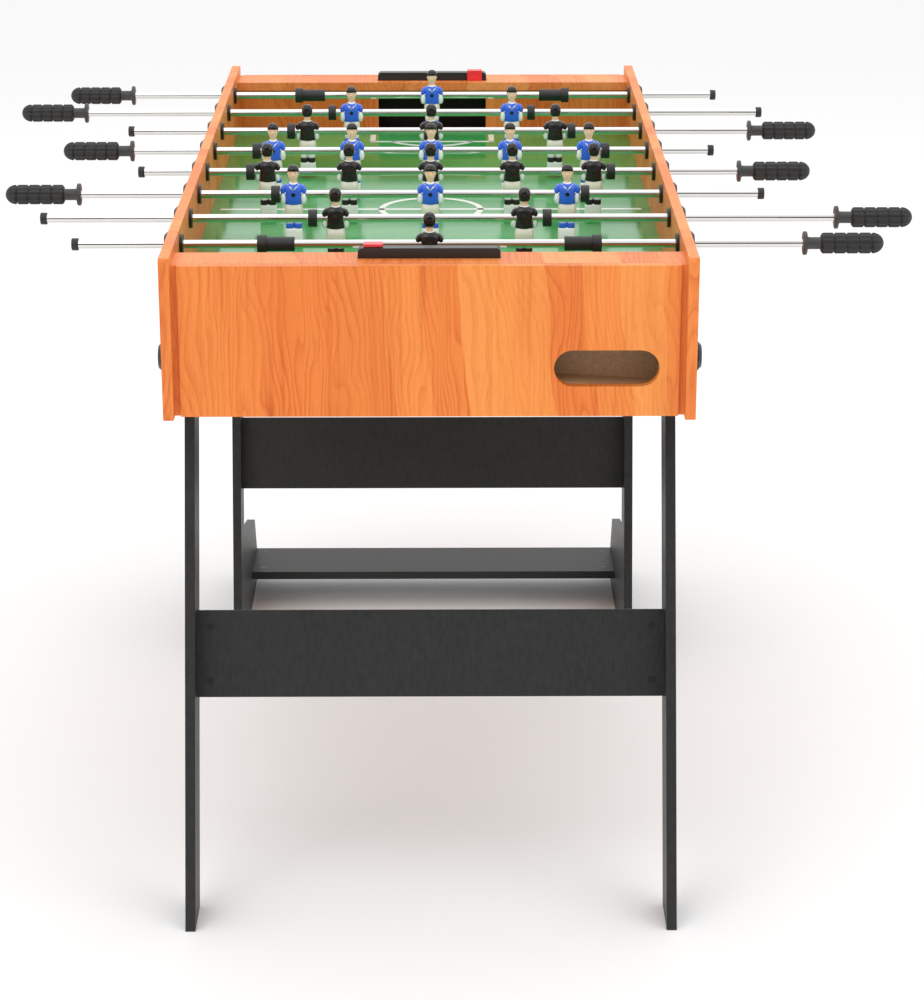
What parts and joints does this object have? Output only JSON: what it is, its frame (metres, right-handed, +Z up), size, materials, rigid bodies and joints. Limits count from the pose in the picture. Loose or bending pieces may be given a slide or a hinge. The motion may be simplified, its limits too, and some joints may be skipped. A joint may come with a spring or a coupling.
{
  "type": "foosball table",
  "caption": "Table football cabinet with sliding, turning rods of players, score sliders, folding front legs and a stand it tips up on.",
  "frame": {"origin": "floor level, at the middle of the table's outline seen from above", "axes": "+Z up, X along the rods, +Y from the folding front legs to the rear stand"},
  "size_m": [1.176, 1.2918, 0.8195],
  "materials": {
    "wood_laminate": "satin cherry and beech laminate",
    "black_board": "satin black laminate on board",
    "tray_board": "matt brown fibreboard",
    "playfield_green": "glossy green sheet",
    "black_plastic": "moulded",
    "red_plastic": "moulded",
    "zinc_steel": "zinc plated",
    "black_steel": "black",
    "chrome_rod": "polished",
    "black_rubber": "moulded",
    "black_player": "painted moulding",
    "blue_player": "painted moulding"
  },
  "bodies": {
    "stand": {"stand_leg_right": "black_board", "stand_leg_left": "black_board", "stand_cross_board": "black_board", "stand_base_board": "black_board", "stand_fasteners": "black_steel"},
    "cabinet": {"side_panel_left": "wood_laminate", "side_panel_right": "wood_laminate", "near_end_panel": "wood_laminate", "far_end_panel": "wood_laminate", "near_goal_wall": "wood_laminate", "far_goal_wall": "wood_laminate", "near_top_board": "wood_laminate", "far_top_board": "wood_laminate", "ball_trays": "tray_board", "playfield": "playfield_green", "score_rails": "black_plastic", "rod_bushes": "black_plastic", "cabinet_screws": "zinc_steel"},
    "front_legs": {"front_leg_right": "black_board", "front_leg_left": "black_board", "front_cross_board": "black_board", "front_fasteners": "black_steel"},
    "near_score_slider": {"near_score_slider": "red_plastic"},
    "far_score_slider": {"far_score_slider": "red_plastic"},
    "front_knob_left": {"front_knob_left": "black_plastic"},
    "front_knob_right": {"front_knob_right": "black_plastic"},
    "rear_knob_left": {"rear_knob_left": "black_plastic"},
    "rear_knob_right": {"rear_knob_right": "black_plastic"},
    "rod_1_slide": {"rod_1_buffers": "black_rubber"},
    "rod_1": {"rod_1_bar": "chrome_rod", "rod_1_men": "black_player", "rod_1_grips": "black_rubber"},
    "rod_2_slide": {"rod_2_buffers": "black_rubber"},
    "rod_2": {"rod_2_bar": "chrome_rod", "rod_2_men": "black_player", "rod_2_grips": "black_rubber"},
    "rod_3_slide": {"rod_3_buffers": "black_rubber"},
    "rod_3": {"rod_3_bar": "chrome_rod", "rod_3_men": "blue_player", "rod_3_grips": "black_rubber"},
    "rod_4_slide": {"rod_4_buffers": "black_rubber"},
    "rod_4": {"rod_4_bar": "chrome_rod", "rod_4_men": "black_player", "rod_4_grips": "black_rubber"},
    "rod_5_slide": {"rod_5_buffers": "black_rubber"},
    "rod_5": {"rod_5_bar": "chrome_rod", "rod_5_men": "blue_player", "rod_5_grips": "black_rubber"},
    "rod_6_slide": {"rod_6_buffers": "black_rubber"},
    "rod_6": {"rod_6_bar": "chrome_rod", "rod_6_men": "black_player", "rod_6_grips": "black_rubber"},
    "rod_7_slide": {"rod_7_buffers": "black_rubber"},
    "rod_7": {"rod_7_bar": "chrome_rod", "rod_7_men": "blue_player", "rod_7_grips": "black_rubber"},
    "rod_8_slide": {"rod_8_buffers": "black_rubber"},
    "rod_8": {"rod_8_bar": "chrome_rod", "rod_8_men": "blue_player", "rod_8_grips": "black_rubber"}
  },
  "joints": [
    {"name": "cabinet_tilt", "type": "hinge", "parent": "stand", "child": "cabinet", "pos_m": [0, 0.38592, 0.636], "axis": [-1, 0, 0], "range_deg": [0, 90]},
    {"name": "front_leg_fold", "type": "hinge", "parent": "cabinet", "child": "front_legs", "pos_m": [0, -0.38908, 0.636], "axis": [1, 0, 0], "range_deg": [0, 109]},
    {"name": "near_score_slider_travel", "type": "slide", "parent": "cabinet", "child": "near_score_slider", "axis": [1, 0, 0], "range_m": [-0.006, 0.134]},
    {"name": "far_score_slider_travel", "type": "slide", "parent": "cabinet", "child": "far_score_slider", "axis": [1, 0, 0], "range_m": [-0.134, 0.006]},
    {"name": "front_knob_left_turn", "type": "hinge", "parent": "front_legs", "child": "front_knob_left", "pos_m": [-0.315, -0.38908, 0.636], "axis": [-1, 0, 0], "continuous": true},
    {"name": "front_knob_right_turn", "type": "hinge", "parent": "front_legs", "child": "front_knob_right", "pos_m": [0.315, -0.38908, 0.636], "axis": [1, 0, 0], "continuous": true},
    {"name": "rear_knob_left_turn", "type": "hinge", "parent": "stand", "child": "rear_knob_left", "pos_m": [-0.315, 0.38592, 0.636], "axis": [-1, 0, 0], "continuous": true},
    {"name": "rear_knob_right_turn", "type": "hinge", "parent": "stand", "child": "rear_knob_right", "pos_m": [0.315, 0.38592, 0.636], "axis": [1, 0, 0], "continuous": true},
    {"name": "rod_1_push", "type": "slide", "parent": "cabinet", "child": "rod_1_slide", "axis": [1, 0, 0], "range_m": [-0.0865, 0.0865]},
    {"name": "rod_1_spin", "type": "hinge", "parent": "rod_1_slide", "child": "rod_1", "pos_m": [0, -0.41758, 0.7815], "axis": [1, 0, 0], "continuous": true},
    {"name": "rod_2_push", "type": "slide", "parent": "cabinet", "child": "rod_2_slide", "axis": [1, 0, 0], "range_m": [-0.1405, 0.1405]},
    {"name": "rod_2_spin", "type": "hinge", "parent": "rod_2_slide", "child": "rod_2", "pos_m": [0, -0.28658, 0.7815], "axis": [1, 0, 0], "continuous": true},
    {"name": "rod_3_push", "type": "slide", "parent": "cabinet", "child": "rod_3_slide", "axis": [1, 0, 0], "range_m": [-0.088, 0.088]},
    {"name": "rod_3_spin", "type": "hinge", "parent": "rod_3_slide", "child": "rod_3", "pos_m": [0, -0.15558, 0.7815], "axis": [1, 0, 0], "continuous": true},
    {"name": "rod_4_push", "type": "slide", "parent": "cabinet", "child": "rod_4_slide", "axis": [1, 0, 0], "range_m": [-0.048, 0.048]},
    {"name": "rod_4_spin", "type": "hinge", "parent": "rod_4_slide", "child": "rod_4", "pos_m": [0, -0.02458, 0.7815], "axis": [1, 0, 0], "continuous": true},
    {"name": "rod_5_push", "type": "slide", "parent": "cabinet", "child": "rod_5_slide", "axis": [1, 0, 0], "range_m": [-0.048, 0.048]},
    {"name": "rod_5_spin", "type": "hinge", "parent": "rod_5_slide", "child": "rod_5", "pos_m": [0, 0.10642, 0.7815], "axis": [1, 0, 0], "continuous": true},
    {"name": "rod_6_push", "type": "slide", "parent": "cabinet", "child": "rod_6_slide", "axis": [1, 0, 0], "range_m": [-0.088, 0.088]},
    {"name": "rod_6_spin", "type": "hinge", "parent": "rod_6_slide", "child": "rod_6", "pos_m": [0, 0.23742, 0.7815], "axis": [1, 0, 0], "continuous": true},
    {"name": "rod_7_push", "type": "slide", "parent": "cabinet", "child": "rod_7_slide", "axis": [1, 0, 0], "range_m": [-0.1405, 0.1405]},
    {"name": "rod_7_spin", "type": "hinge", "parent": "rod_7_slide", "child": "rod_7", "pos_m": [0, 0.36842, 0.7815], "axis": [1, 0, 0], "continuous": true},
    {"name": "rod_8_push", "type": "slide", "parent": "cabinet", "child": "rod_8_slide", "axis": [1, 0, 0], "range_m": [-0.0865, 0.0865]},
    {"name": "rod_8_spin", "type": "hinge", "parent": "rod_8_slide", "child": "rod_8", "pos_m": [0, 0.49942, 0.7815], "axis": [1, 0, 0], "continuous": true}
  ]
}
